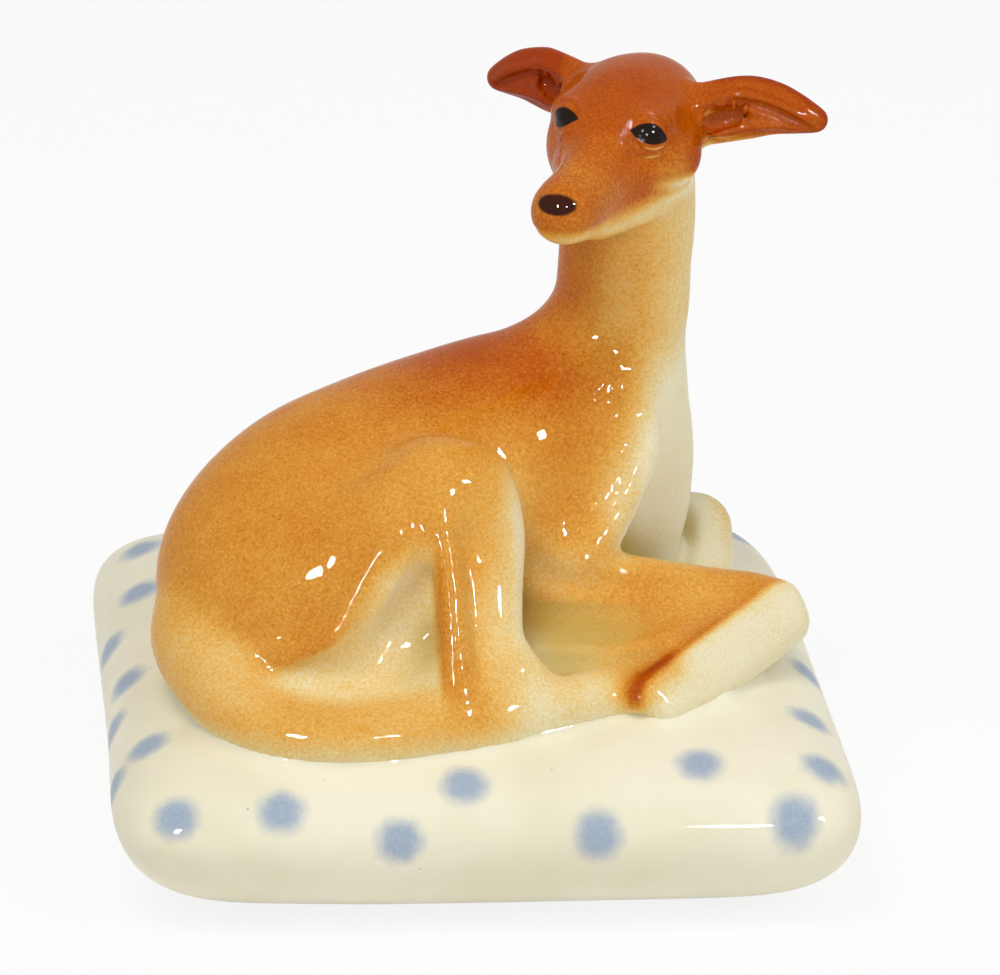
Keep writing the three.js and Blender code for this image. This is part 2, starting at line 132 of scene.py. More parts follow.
def surface_nets(field, lo, hi, h, stride=4):
    lo = np.asarray(lo, float)
    n = (np.ceil((np.asarray(hi, float)-lo)/(h*stride)).astype(int))*stride+1
    cn = (n-1)//stride+1
    ax = [lo[i]+h*np.arange(n[i]) for i in range(3)]
    cg = np.stack(np.meshgrid(*[a[::stride] for a in ax], indexing='ij'), -1).reshape(-1, 3)
    C = field(cg).reshape(cn)
    near = np.abs(C) < h*stride*1.9
    A = np.zeros(cn, bool)
    for dx in (-1,0,1):
        for dy in (-1,0,1):
            for dz in (-1,0,1):
                A |= np.roll(near, (dx,dy,dz), (0,1,2))
    # block = coarse cell
    blk = A[:-1,:-1,:-1]|A[1:,1:,1:]|A[1:,:-1,:-1]|A[:-1,1:,:-1]|A[:-1,:-1,1:]
    blk = near[:-1,:-1,:-1]
    for dx in (0,1):
        for dy in (0,1):
            for dz in (0,1):
                blk = blk | near[dx:cn[0]-1+dx, dy:cn[1]-1+dy, dz:cn[2]-1+dz]
    G = np.repeat(np.repeat(np.repeat(C, stride, 0), stride, 1), stride, 2)[:n[0], :n[1], :n[2]].astype(F)
    fine = np.zeros(tuple(n), bool)
    b = np.argwhere(blk)
    r = np.arange(stride+1)
    off = np.stack(np.meshgrid(r, r, r, indexing='ij'), -1).reshape(-1, 3)
    I = (b[:, None]*stride + off[None]).reshape(-1, 3)
    fine[tuple(I.T)] = True
    I = np.argwhere(fine)
    P = lo + h*I
    for i in range(0, len(I), 400000):
        G[tuple(I[i:i+400000].T)] = field(P[i:i+400000])
    S = G < 0
    c = np.zeros(tuple(n-1), np.uint8)
    for dx in (0, 1):
        for dy in (0, 1):
            for dz in (0, 1):
                c += S[dx:n[0]-1+dx, dy:n[1]-1+dy, dz:n[2]-1+dz]
    act = (c > 0) & (c < 8)
    idx = np.full(tuple(n-1), -1, int); I = np.argwhere(act); idx[act] = np.arange(len(I))
    acc = np.zeros((len(I), 3)); cnt = np.zeros(len(I))
    corners = [(0,0,0),(1,0,0),(0,1,0),(1,1,0),(0,0,1),(1,0,1),(0,1,1),(1,1,1)]
    for a in range(8):
        for ax_ in range(3):
            A_ = np.array(corners[a])
            if A_[ax_]: continue
            B_ = A_.copy(); B_[ax_] = 1
            ga = G[tuple((I+A_).T)]; gb = G[tuple((I+B_).T)]
            m = (ga < 0) != (gb < 0)
            t = np.where(m, ga/np.where(m, ga-gb, 1), 0)
            p = A_ + (B_-A_)*t[:, None]
            acc[m] += p[m]; cnt[m] += 1
    V = lo + h*(I + acc/cnt[:, None])
    quads = []
    for ax_ in range(3):
        sl0 = [slice(None)]*3; sl1 = [slice(None)]*3
        sl0[ax_] = slice(0, -1); sl1[ax_] = slice(1, None)
        a, b_ = S[tuple(sl0)], S[tuple(sl1)]
        E = np.argwhere(a != b_)
        u, w = (ax_+1) % 3, (ax_+2) % 3
        E = E[(E[:, u] > 0) & (E[:, w] > 0) & (E[:, u] < n[u]-1) & (E[:, w] < n[w]-1)]
        inside = a[tuple(E.T)]
        du = np.zeros(3, int); du[u] = 1; dw = np.zeros(3, int); dw[w] = 1
        q = np.stack([idx[tuple((E-du-dw).T)], idx[tuple((E-dw).T)], idx[tuple(E.T)], idx[tuple((E-du).T)]], 1)
        q[~inside] = q[~inside][:, ::-1]
        quads.append(q)
    return V, np.concatenate(quads)

def grad(field, V, h=0.05):
    K = np.array([[1,-1,-1],[-1,-1,1],[-1,1,-1],[1,1,1]], float)
    g = np.zeros_like(V)
    for k in K: g += k*field(V + k*h)[:, None]
    return g/(4*h)

def project(field, V, steps=1, cap=0.5):
    for _ in range(steps):
        g = grad(field, V); n = np.linalg.norm(g, axis=1, keepdims=True)+1e-6
        f = field(V)[:, None]
        V = V - np.clip(f/n, -cap, cap)*g/n
    return V


# The hound's forms
HO = np.array([25.8, 4.0, 105.1])
HF = np.array([-0.477, -0.877, 0.0]); HF /= np.linalg.norm(HF)
HL = np.array([-HF[1], HF[0], 0.0]); HU = np.array([0,0,1.0])
def H(f, l, u): return HO + f*HF + l*HL + u*HU
def hp(f, l, u, a, b, s=None):
    return (*H(f, l, u), a, b, *(HL if s is None else s))
def hl(f, l, u, w, h): return (*H(f, l, u), w, h)

def build():
    L = []
    A = L.append
    # trunk and neck
    A(Limb('torso', [(-33,-14,36,12,12.5),(-29.1,-13,41.8,17,17),(-21.2,-9,46.4,19,18.7),(-11,-3,48.4,19,19),(-0.7,1.6,50.5,18.4,18.6),(9.5,4,52.8,17,18.2),(17.6,5,54,14,17),(21.6,5.6,50,9.6,12.6)], blend=0, part='trunk', n=7, k_in=0.5))
    A(Limb('belly', [(-32,-10,33,14,9),(-18,-6,34,18,10),(0,1,35,17,11),(15,4,35,12,11)], blend=4, part='trunk', n=5, k_in=0.6))
    A(Limb('neck', [(21.5,5.5,61,12,11.6),(23.4,6,68.7,10.6,10.3),(25,6,75.9,9.8,9.6),(25.4,6,82.2,9.7,9.4),(25.9,6,89.4,9.8,9.5),(26.4,6.4,97.2,8.6,8.8),(27,6.6,101,7,7)], side=(0,-1,0), blend=7, part='trunk', n=6, k_in=0.6))
    A(Limb('breast', [(23.6,6,66,8.8,8.8),(22.6,6,58,8.4,9.4),(23.2,6,50,8.4,12.2),(21.6,5.4,40,8.8,12.2),(17,4,33,9,10)], side=(0,-1,0), blend=4, part='trunk', n=6, k_in=0.6))
    # head
    A(Limb('skull', [hp(-7.5,-.2,-0.1,8,7.4),hp(-3,-.4,-0.5,10.4,8.6),hp(3,0,-1.9,10.3,9.7),hp(9,0,-3.9,7.6,8.5),hp(15,.5,-5.3,5.2,7.0),hp(21,.7,-5.8,4.5,5.7),hp(27.2,0.4,-5.8,4.4,4.5)], blend=2.2, part='head', n=6, k_in=0.6))
    for s in (-1, 1):
        A(Limb('brow', [hp(11.6,s*4.2,2.3,1.2,1.0),hp(9.4,s*5.9,3.3,1.4,1.1),hp(6.2,s*7.5,2.8,1.4,1.2)], blend=3, part='head'))
        A(Limb('cheek', [hp(8,s*6.2,-3.4,2,2),hp(3,s*8.5+.6,-3.6,2.6,3.4)], blend=3, part='head'))
        A(Limb('jaw', [hp(1,s*6,-9.6,3,3),hp(9,s*4.4,-10.2,2.6,2.6),hp(18,s*2.4,-9.8,2,2)], blend=2.5, part='head'))
        A(Limb('socket', [hp(13.4,s*8.9,0.5,2.3,2.3),hp(11.8,s*10.4,0.5,2.3,2.3)], blend=3, op='cut'))
        A(Limb('eyeball', [hp(*EYE_AT[s],EYE_R-.3,EYE_R-.3)], blend=0.5, part='head'))
    A(Limb('nose', [hp(27.2,.7,-3.7,3.0,1.9),hp(29.1,.7,-4.2,2.7,1.8)], blend=0.7, part='head'))
    for s, n in ((-1, 'ear_right'), (1, 'ear_left')):
        reach = 0.94 if s < 0 else 1.0
        lift = 1.0 if s < 0 else 0.0
        A(Limb(n, [hp(-3.0,s*7.8,0.8+lift,4.2-.4*lift,3,HU),hp(-4.0,s*10.6,1.0+lift,4.3,2.3,HU),hp(-5.0,s*14,1.8+lift*.8,4.4,2.0,HU),hp(-5.8,s*17.2*reach,2.4+lift*.3,4.3,1.8,HU),hp(-6.7,s*20.4*reach,2.3+.3*lift,3.6,1.6,HU),hp(-7.6,s*23.6*reach,1.5+.3*lift,2.6,1.5,HU),hp(-8.5,s*26.6*reach,0.6+.2*lift,1.4,1.2,HU)], blend=1.8, part=n, n=6, k_in=0.5))
        A(Limb('bowl', [hp(-1.9,s*11.6,0.4+lift,1.5,1.5,HU),hp(-2.4,s*14.0,1.0+lift,2.1,1.7,HU),hp(-3.4,s*16.4*reach,1.8+lift,1.3,1.3,HU)], blend=1.2, op='cut', n=5, k_in=0.5))
        # right hind leg
    A(Limb('thigh', [(-35,-20.5,34,12,11.5),(-27,-22.4,40.4,11,11),(-15.8,-23.6,49.4,9.6,9.2),(-5.8,-21.6,57,8.1,7.7)], side=(0,0,1), blend=3, part='hind_leg_right', n=8, k_in=0.6))
    A(Limb('ham', [(-35,-27.4,31.8,4.6,4.6),(-28.4,-29.6,35.4,4.8,4.6),(-21.8,-31.2,39.4,4.6,4.4),(-16.8,-30.2,46.2,4.2,4.4),(-12.4,-28.2,52.4,3.6,4.2)], side=(0,0,1), blend=3, part='hind_leg_right', n=6, k_in=0.8))
    A(Limb('shank', [(-2.4,-21,56.4,8,7.6),(-0.2,-24.1,50.6,6.9,5.4),(0.4,-28.6,43.8,5.5,4.0),(0.6,-33.4,36.9,4.9,3.7),(0.6,-38,30.4,5.3,4.1),(0.4,-40.6,27.5,5.6,4.6)], side=(1,0,0), blend=1.8, part='hind_leg_right', n=8, k_in=0.6))
    A(Limb('shin', [(-6.0,-28.8,56.2,1.8,1.8),(-4.8,-33.9,47.6,1.7,1.7),(-4.4,-38.8,38.8,1.7,1.7),(-4.0,-42.5,31.5,1.8,1.8),(-3.4,-44,27.4,2.2,2.2)], side=(1,0,0), blend=3, part='hind_leg_right', n=6, k_in=0.6))
    A(Limb('heel', [(4.4,-37,34.4,2.6,2.6),(7.8,-37.6,31.6,2.4,2.4)], side=(1,0,0), blend=4.5, part='hind_leg_right'))
    A(Limb('web', [(-31,-28.4,30.5,7,7),(-19,-28.8,31,7,6.6),(-10,-28.6,33,8,6),(-5,-27.4,41,6.5,5)], side=(0,0,1), blend=4, part='hind_leg_right', n=6, k_in=0.8))
    A(Limb('hem', [(-32,-34,27.4,3.6,5),(-22,-37,27.4,3.6,5),(-12,-37.8,27.6,3.6,5),(-6,-36,31,4.6,5)], side=(0,0,1), blend=5, part='hind_leg_right', n=6, k_in=0.8))
    A(Limb('floor', [(-31,-37.6,26.6,5,4),(-22,-40,26.9,5.4,4),(-12,-40.4,27.1,5.4,4.2),(-6,-39.4,27.6,5,4.4)], side=(0,1,0), blend=4, part='hind_leg_right', n=6, k_in=0.8))
    A(Limb('foot', [(0.5,-40.5,28.8,5,4.4),(6.5,-39,28.8,4,4),(12.7,-37,28.6,3.6,3.6),(18.8,-35,28.4,3.4,3.2),(23.6,-33.6,28,3,2.8)], side=(0,0,1), blend=2, part='hind_leg_right', n=6, k_in=0.6))
    # tail
    A(Limb('tail', [(-40.2,-20,34.8,7,7),(-38.6,-31.5,31,5.4,5.4),(-33,-40.4,28.3,3.8,3.8),(-23.4,-44.6,27.7,3.2,3.2),(-13.1,-44.6,27.9,3.1,3.1),(-7.4,-43.4,28.4,3.0,3.0)], side=(0,0,1), blend=3.2, part='tail', n=9, k_in=0.6))
    # right fore leg
    A(Limb('shoulder', [(13,0,64,5,4),(19,-3.4,60,7,4.4),(21.8,-6,56.4,5.4,4.2),(18.2,-8.4,49.6,5.4,4.2),(14,-11.4,43,5.2,4.8)], side=(1,0,0), blend=4.5, part='foreleg_right', n=6, k_in=0.8))
    A(Limb('point', [(26.4,-6,60.8,2,2),(26.4,-9.2,57.2,2,2),(23.8,-11.6,51.6,2,2),(20.4,-13.4,46,2.2,2.2),(17.2,-14.4,42,2.6,2.6)], side=(1,0,0), blend=2.2, part='foreleg_right', n=6, k_in=0.8))
    A(Limb('forearm', [(10,-12,37.4,6.4,5),(20,-13.4,35.4,6.6,4.6),(33.4,-12.8,33.4,5.6,4.3),(45,-10.8,31.6,4.6,4.2)], side=(0,0.66,0.75), blend=2.4, part='foreleg_right', n=8, k_in=0.8))
    A(Limb('radius', [(14.6,-13.6,42,2.8,2.8),(22,-14,39.5,2.5,2.5),(30,-13.6,37.4,2.3,2.3),(38,-13,35.2,2.3,2.3),(46,-12.6,33.2,2.6,2.6)], side=(0,0,1), blend=2.2, part='foreleg_right', n=6, k_in=1.0))
    A(Limb('fweb', [(6,-23.5,30,6.8,4.8),(18,-24,29.8,6.8,4.6),(30,-21,29.4,5.4,4.2)], side=(0,1,0), blend=5.5, part='foreleg_right', n=5, k_in=0.6))
    A(Limb('paw', [(47.1,-14.2,32,3.8,3.4),(40.8,-21.3,31.2,3.4,2.6),(33.1,-29.6,30,3.2,2.4),(25.6,-36.9,29.1,2.6,2.3)], side=(-0.37,0.335,0.87), blend=1.2, part='foreleg_right', n=8, k_in=0.5))
    A(Limb('palm', [(42,-13.6,32,4,3.4),(35,-20.4,30.6,4,3),(27,-27.6,29.4,3.6,3)], side=(0,0,1), blend=4, part='foreleg_right', n=5, k_in=0.5))
    A(Limb('cuff', [(47.3,-13.3,34.2,2.0,2.0),(40.4,-20.8,33.5,1.4,1.4),(32.1,-28.7,32.2,1.3,1.3),(25.6,-35.4,31,1.5,1.5),(22.8,-38.2,29.6,1.7,1.7)], side=(0,0,1), blend=2, part='foreleg_right', n=6, k_in=0.4))
    A(Limb('sole', [(47.9,-15.3,30.6,2.4,2.4),(42.4,-21.8,28.8,2.2,2.2),(34.6,-30.7,27.6,2.1,2.1),(26.8,-38.2,27.1,1.9,1.9)], side=(0,0,1), blend=2.4, part='foreleg_right', n=6, k_in=0.4))
    # left fore leg
    A(Limb('shoulder_l', [(13,11,64,5,4),(18,15,59,8,4.6),(19.5,17.4,54,7.4,4.8),(16.6,19,47,6.4,5),(12.5,19.5,41,6,5.6)], side=(1,0,0), blend=4, part='foreleg_left'))
    A(Limb('forearm_l', [(10,19,36,6.4,5.4),(21,18.6,35,6,5),(30,17.6,34.6,5,4.8),(37.6,16.2,34.8,4.7,4.7)], side=(0,-0.66,0.75), blend=2, part='foreleg_left'))
    A(Limb('paw_l', [(38.6,15.4,34.6,4.4,4.5),(38.4,9,31.6,4,4),(37.4,2,29.6,3.6,3.6)], side=(0,0,1), blend=1.5, part='foreleg_left', n=6, k_in=0.5))
    A(Limb('lweb', [(26,5,31,6,6),(35,9,30,4.4,4.4)], side=(0,0,1), blend=4, part='foreleg_left'))
    # left hind leg
    A(Limb('thigh_l', [(-33,8,34,12,11),(-25,13,39,12,11),(-14,17.5,44,10,9.6),(-5,20.5,46.6,7.6,7.4)], side=(0,0,1), blend=3, part='hind_leg_left'))
    A(Limb('shank_l', [(-2.4,21,46,7,7),(-2.6,25,41,5.8,6),(-4,29.5,35.6,5.2,5.2),(-5,32,30,5,4.6)], side=(1,0,0), blend=1.6, part='hind_leg_left'))
    A(Limb('foot_l', [(-5,32.4,28.8,4.6,4.4),(2,33.4,28.4,4,3.8),(9,33.6,28,3.6,3.5),(16,32.6,27.6,3.3,3.1)], side=(0,0,1), blend=2, part='hind_leg_left'))
    return L
EYE_AT = {1: (9.3, 6.0, 1.1), -1: (9.8, -4.3, 2.2)}
EYE_R = 3.3
def eye_frame(s):
    n = (HF*0.70 + HL*0.66 + HU*0.28) if s > 0 else (HF*0.78 - HL*0.56 + HU*0.26)
    n /= np.linalg.norm(n)
    e1 = HL*s - n*np.dot(HL*s, n); e1 /= np.linalg.norm(e1)
    e1 = e1 - 0.10*HU; e1 -= n*np.dot(e1, n); e1 /= np.linalg.norm(e1)     # outward corner
    e2 = np.cross(n, e1); e2 *= np.sign(e2[2])
    return H(*EYE_AT[s]), n, e1, e2
def lines():
    G = []
    on_skin = []
    def laid(path): on_skin.append(np.array(path, float))
    # the groove between the upper arm and the chest
    G.append(Line([(27.6,-4.4,63.4,1.3,0),(28.6,-6.6,58.6,1.3,-.8),(26.6,-9.2,52,1.4,-1.0),(23.2,-11,46.6,1.3,-.7)], 4))
    for s in (-1, 1):
        c, n, e1, e2 = eye_frame(s)
        r = EYE_R
        def on(x, y, out=0.0):
            z = np.sqrt(max(r*r-x*x-y*y, 0.5)); return c + e1*x + e2*y + n*(z+out)
        up = [on(x, 1.75*(1-(x/2.8)**2)+0.25, .1) for x in np.linspace(-2.7, 2.6, 7)]
        dn = [on(x, -1.35*(1-(x/2.8)**2)-0.25, .05) for x in np.linspace(-2.7, 2.6, 7)]
        G.append(Line([(*p, 0.42, 0.38) for p in up], 3))
        G.append(Line([(*p, 0.38, 0.26) for p in dn], 3))
        ring = [c + e1*4.1*np.cos(t) + e2*3.2*np.sin(t) + n*2 for t in np.radians([205, 175, 145, 115, 85, 55, 25])]
        laid([(*p, 0.48, h) for p, h in zip(ring, (.15, .6, .75, .7, .75, .6, .15))])
        low = [c + e1*3.9*np.cos(t) + e2*2.9*np.sin(t) + n*2 for t in np.radians([-15, -40, -70, -100, -130])]
        laid([(*p, 0.45, h) for p, h in zip(low, (.15, .5, .6, .5, .15))])
        if s < 0: laid([hl(13.4,-3.6,-.4,.4,-.2), hl(14.4,-3.4,-1.3,.4,-.5), hl(15.6,-3.4,-2.2,.4,-.5), hl(17,-3.7,-3.0,.4,-.1)])
        # tear line down the muzzle, mouth, the folds of the ear
        G.append(Line([hl(11.5,s*6.2,-0.2,.7,-.2), hl(14.5,s*5.2,-1.6,.8,-.2), hl(17,s*4.4,-2.6,.8,0)], 4))
        G.append(Line([hl(30.6,0,-7.8,.45,-.25), hl(29,s*2.9,-7.9,.45,-.25), hl(25,s*4.0,-8.4,.45,-.25), hl(19,s*4.7,-9.1,.45,-.25), hl(13.5,s*5.6,-9.2,.5,-.2), hl(10.5,s*6.6,-8.4,.5,0)], 5))
        k = 1.0 if s < 0 else 0.0
        folds = [
            ([(-3.0, 15.6, 4.0), (-4.4, 18.4, 3.7), (-5.8, 21.4, 2.5), (-7.0, 24.2, 1.0), (-7.9, 26.2, -.4)], .6, -1.2),
            ([(-1.9, 10.6, 3.4), (-2.9, 13.4, 4.7), (-4.1, 17, 5.4), (-5.6, 21, 4.2), (-6.6, 24, 2.8), (-7.4, 26, 1)], .65, .8),
            ([(-2.2, 12.4, -1.6), (-2.6, 15.2, -1.2), (-3.6, 18, -.6), (-5.4, 21.6, -.2), (-6.8, 24.8, -.9)], .55, .7),
            ([(-2.5, 14.3, 4.0), (-2.4, 14.6, 2.4), (-2.4, 14.5, .8)], .4, .8),
            ([(-2.8, 16.4, 3.6), (-2.7, 15.8, 2.2), (-2.6, 15.6, 1.2)], .4, .8),
            ([(-3.1, 17.4, 3.2), (-2.9, 16.8, 1.9), (-2.8, 16.0, .9)], .42, .8),
            ([(-3.6, 18.6, 4.9), (-3.4, 18.1, 3.9), (-3.3, 17.6, 2.6)], .42, .75),
            ([(-2.0, 12.2, 4.2), (-1.8, 12.4, 2.2), (-1.8, 13.2, .2)], .45, .75),
        ]
        for path, w, h in folds:
            ends = [.3] + [1] * (len(path) - 2) + [.2]
            laid([hl(f + 2, s*l*(.96 if s < 0 else 1), u + k * max(0, 1 - (l - 12) / 10), w, h*e) for (f, l, u), e in zip(path, ends)])
    G.append(Line([(-27,-22,58.2,1.7,0),(-21.4,-22.8,60.2,1.6,-.8),(-16,-23.4,62.2,1.5,-1.0),(-10.6,-22.6,65.4,1.5,-.7),(-5,-21,66.6,1.4,0)], 4))
    laid([(6,-28,34,1.4,.1),(12,-28.5,33,1.4,1.3),(20,-28.5,32,1.4,1.3),(27,-27,32,1.4,1.0),(32,-24,33,1.4,.1)])
    laid([(8,-20,40,1.5,.1),(14,-20,39,1.5,.7),(22,-19.6,38,1.5,.7),(30,-18.6,36.6,1.5,.6),(36,-17.6,35.6,1.4,.1)])
    # the edge of the thigh over its hollow, and the shin
    G.append(Line([(-31.5,-35,36.2,1.7,.1),(-26,-37,38.6,1.7,1.8),(-21.4,-37.3,41.6,1.7,2.15),(-18.8,-36.1,45.9,1.6,1.1),(-15.9,-34.6,50.2,1.6,.8),(-13.2,-33.0,54.0,1.6,1.3),(-11.6,-31.4,57.2,1.6,.1)], 4))
    laid([(-18.6,-37,40,1.2,.1),(-16.4,-36,43,1.2,1.0),(-14.0,-35,47,1.2,1.2),(-11.6,-34,51,1.2,1.1),(-9.6,-33,54,1.2,.1)])
    G.append(Line([(14.5,-3.4,72.4,2,.1),(18,-5.6,70,2,.5),(22,-7.2,67.5,2,.7),(26,-7.2,65.4,2,.6),(29.4,-6,62.8,2,.1)], 4))
    G.append(Line([(-5.8,-31,57,1.4,.2),(-5.4,-34.4,50.6,1.4,.5),(-5,-37.8,44.4,1.4,.6),(-4.8,-41.4,37.6,1.4,.5),(-4.6,-44,31,1.4,.2)], 4))
    # these lie on the skin itself
    P = np.concatenate(on_skin)
    P[:, :3] = project(Body(build()), P[:, :3], 6, 1.0)
    for path in np.split(P, np.cumsum([len(p) for p in on_skin])[:-1]): G.append(Line(path, 4))
    return G

# The hound's skin: one surface, cut into its castings
limbs = build()
skin = Body(limbs, lines())
PARTS = ["trunk", "head", "ear_right", "ear_left", "hind_leg_right", "hind_leg_left", "foreleg_right", "foreleg_left", "tail"]
part_of = np.array([PARTS.index(l.part) if l.part in PARTS else -1 for l in limbs])


def smooth01(x, a, b):
    t = np.clip((x - a) / (b - a), 0, 1)
    return t * t * (3 - 2 * t)


def unit(v): return v / np.maximum(np.linalg.norm(v, axis=1, keepdims=True), 1e-9)


def split_quads(V, Q):
    """Each quad becomes four: returns the new points and the quads."""
    E = np.stack([Q, np.roll(Q, -1, 1)], -1).reshape(-1, 2)
    u, inv = np.unique(np.sort(E, 1), axis=0, return_inverse=True)
    inv = inv.reshape(-1, 4)
    n, m = len(V), len(u)
    c, e = n + m + np.arange(len(Q)), n + inv
    W = np.concatenate([V, (V[u[:, 0]] + V[u[:, 1]]) / 2, V[Q].mean(1)])
    return W, np.concatenate([np.stack([Q[:, i], e[:, i], c, e[:, (i+3) % 4]], 1) for i in range(4)])


def compact(V, Q, *more):
    used, inv = np.unique(Q, return_inverse=True)
    return (V[used], inv.reshape(Q.shape)) + tuple(m[used] for m in more)


def label_quads(V, Q):
    cen = V[Q].mean(1)
    _, raw = skin(cen, labels=True)
    per = np.full((len(cen), len(PARTS)), 99.0, F)
    for i, p in enumerate(part_of):
        if p >= 0: per[:, p] = np.minimum(per[:, p], raw[:, i])
    lab = per.argmin(1)
    # calm the borders: each quad takes the commonest label round its corners
    for _ in range(6):
        votes = np.zeros((len(V), len(PARTS)))
        for k in range(4): np.add.at(votes, (Q[:, k], lab), 1)
        lab = votes[Q].sum(1).argmax(1)
    return lab


def soften(V, Q, share, rounds):
    """Weigh each point towards its neighbours and back, so that only short ripples go."""
    E = np.stack([Q, np.roll(Q, -1, 1)], -1).reshape(-1, 2)
    count = np.bincount(E[:, 0], minlength=len(V)) + np.bincount(E[:, 1], minlength=len(V))
    for r in range(rounds):
        for k in (0.55, -0.57):
            S = np.stack([np.bincount(E[:, 0], V[E[:, 1], i], len(V)) + np.bincount(E[:, 1], V[E[:, 0], i], len(V))
                          for i in range(3)], 1)
            V = V + k * share[:, None] * (S / count[:, None] - V)
    return V


def mesh_normals(V, Q):
    n = np.cross(V[Q[:, 2]] - V[Q[:, 0]], V[Q[:, 3]] - V[Q[:, 1]])
    return unit(np.stack([sum(np.bincount(Q[:, k], n[:, i], len(V)) for k in range(4)) for i in range(3)], 1))


def loops_of(Q):
    """Border loops of a patch of quads, each a list of point numbers, in face order."""
    E = np.stack([Q, np.roll(Q, -1, 1)], -1).reshape(-1, 2)
    key = set(map(tuple, E.tolist()))
    nxt = {}
    for a, b in key:
        if (b, a) not in key: nxt.setdefault(a, []).append(b)
    loops = []
    while nxt:
        a = min(nxt)
        loop = [a]
        while True:
            b = nxt[loop[-1]].pop()
            if not nxt[loop[-1]]: del nxt[loop[-1]]
            if b == loop[0]: break
            loop.append(b)
            if b not in nxt: break
        loops.append(loop)
    return loops


def calm(P):
    """1 on the body, 0 on the head and ears, where small forms stay crisp."""
    return 1 - smooth01(P[:, 2], 90, 96)


V0, Q0 = surface_nets(skin, (-56, -56, 20), (62, 46, 122), 0.8)
V0 = project(skin, V0, 2)
label = label_quads(V0, Q0)
V0 = soften(V0, Q0, calm(V0), 8)
N0 = mesh_normals(V0, Q0)


def make_mesh(name, V, faces, normals=None, attrs=None):
    me = bpy.data.meshes.new(name)
    me.from_pydata((np.asarray(V, float) * MM).tolist(), [], faces)
    me.validate(verbose=False)
    for key, val in (attrs or {}).items():
        a = me.attributes.new(key, "FLOAT", "POINT")
        a.data.foreach_set("value", np.asarray(val, np.float32))
    me.shade_smooth()
    if normals is not None:
        me.normals_split_custom_set_from_vertices(np.asarray(normals, float).tolist())
    ob = bpy.data.objects.new(name, me)
    bpy.context.scene.collection.objects.link(ob)
    return ob




def bell(P, c, r):
    d = (P - np.array(c, float)) / np.array(r, float)
    return np.exp(-(d * d).sum(1))


# The painter's sprays: centre, reach along x, y and z, and how much browner (or barer) it gets
SPRAYS = [
    ((3, 4, 73), (15, 14, 8), 0.74), ((16, 2, 70), (9, 12, 10), 0.26), ((-16, -4, 66), (26, 22, 12), 0.06),
    ((-4, -26, 58), (12, 10, 8), -0.22), ((6.5, -24, 54), (3.4, 9, 9), -0.62),
    ((1, -36, 42), (6, 6, 14), -0.30), ((6.5, -32, 40), (3.4, 10, 12), -0.75),
    ((6, -40, 29), (9, 7, 5), -0.9), ((17, -37, 29), (7, 4, 4), -0.7),
    ((-36, -34, 31), (8, 9, 7), -0.15), ((-36, -26, 37), (12, 10, 10), -0.16), ((27, -11.5, 56), (3, 4, 8), -0.45),
    ((22.5, -14.6, 48), (3, 4, 6), -0.4), ((4, -18, 52), (9, 8, 9), -0.1), ((28, -4, 92), (9, 7, 4.5), -0.8),
    ((-6.8, -36, 42), (1.2, 6, 12), 0.12), ((1.5, -37, 40), (2.6, 6, 14), -0.22),
    ((31, -4, 58), (6, 12, 16), -1.0), ((27, 4, 44), (10, 12, 12), -1.0), ((33, 12, 56), (7, 12, 20), -1.0),
    ((22, -12, 52), (4, 4, 8), -0.3), ((12, -17, 42), (9, 8, 5), -0.42),
    ((11, -27, 32), (12, 8, 4.5), -0.70), ((30, -17, 34), (14, 5, 4), -0.12),
    ((38, 6, 30), (10, 12, 10), -0.9), ((36, 18, 36), (8, 8, 8), -0.6),
]
# the folded paw is bare but for its long upper edge, which is darkest near the toes
PAW_EDGE = [(47.2, -13.3, 36.0), (40.4, -20.6, 34.6), (32.0, -28.4, 33.4), (25.4, -35.4, 32.4), (22.4, -38.6, 30.4)]


def along(P, path):
    """Distance from each point to a path of points, and how far along the nearest place is."""
    best, at = np.full(len(P), 1e9), np.zeros(len(P))
    for i, (a, b) in enumerate(zip(path, path[1:])):
        a, b = np.array(a, float), np.array(b, float)
        t = np.clip((P - a) @ (b - a) / ((b - a) @ (b - a)), 0, 1)
        d = np.linalg.norm(P - a - t[:, None] * (b - a), axis=1)
        m = d < best
        best[m], at[m] = d[m], (i + t[m]) / (len(path) - 1)
    return best, at


TAIL = next(l for l in limbs if l.name == "tail")


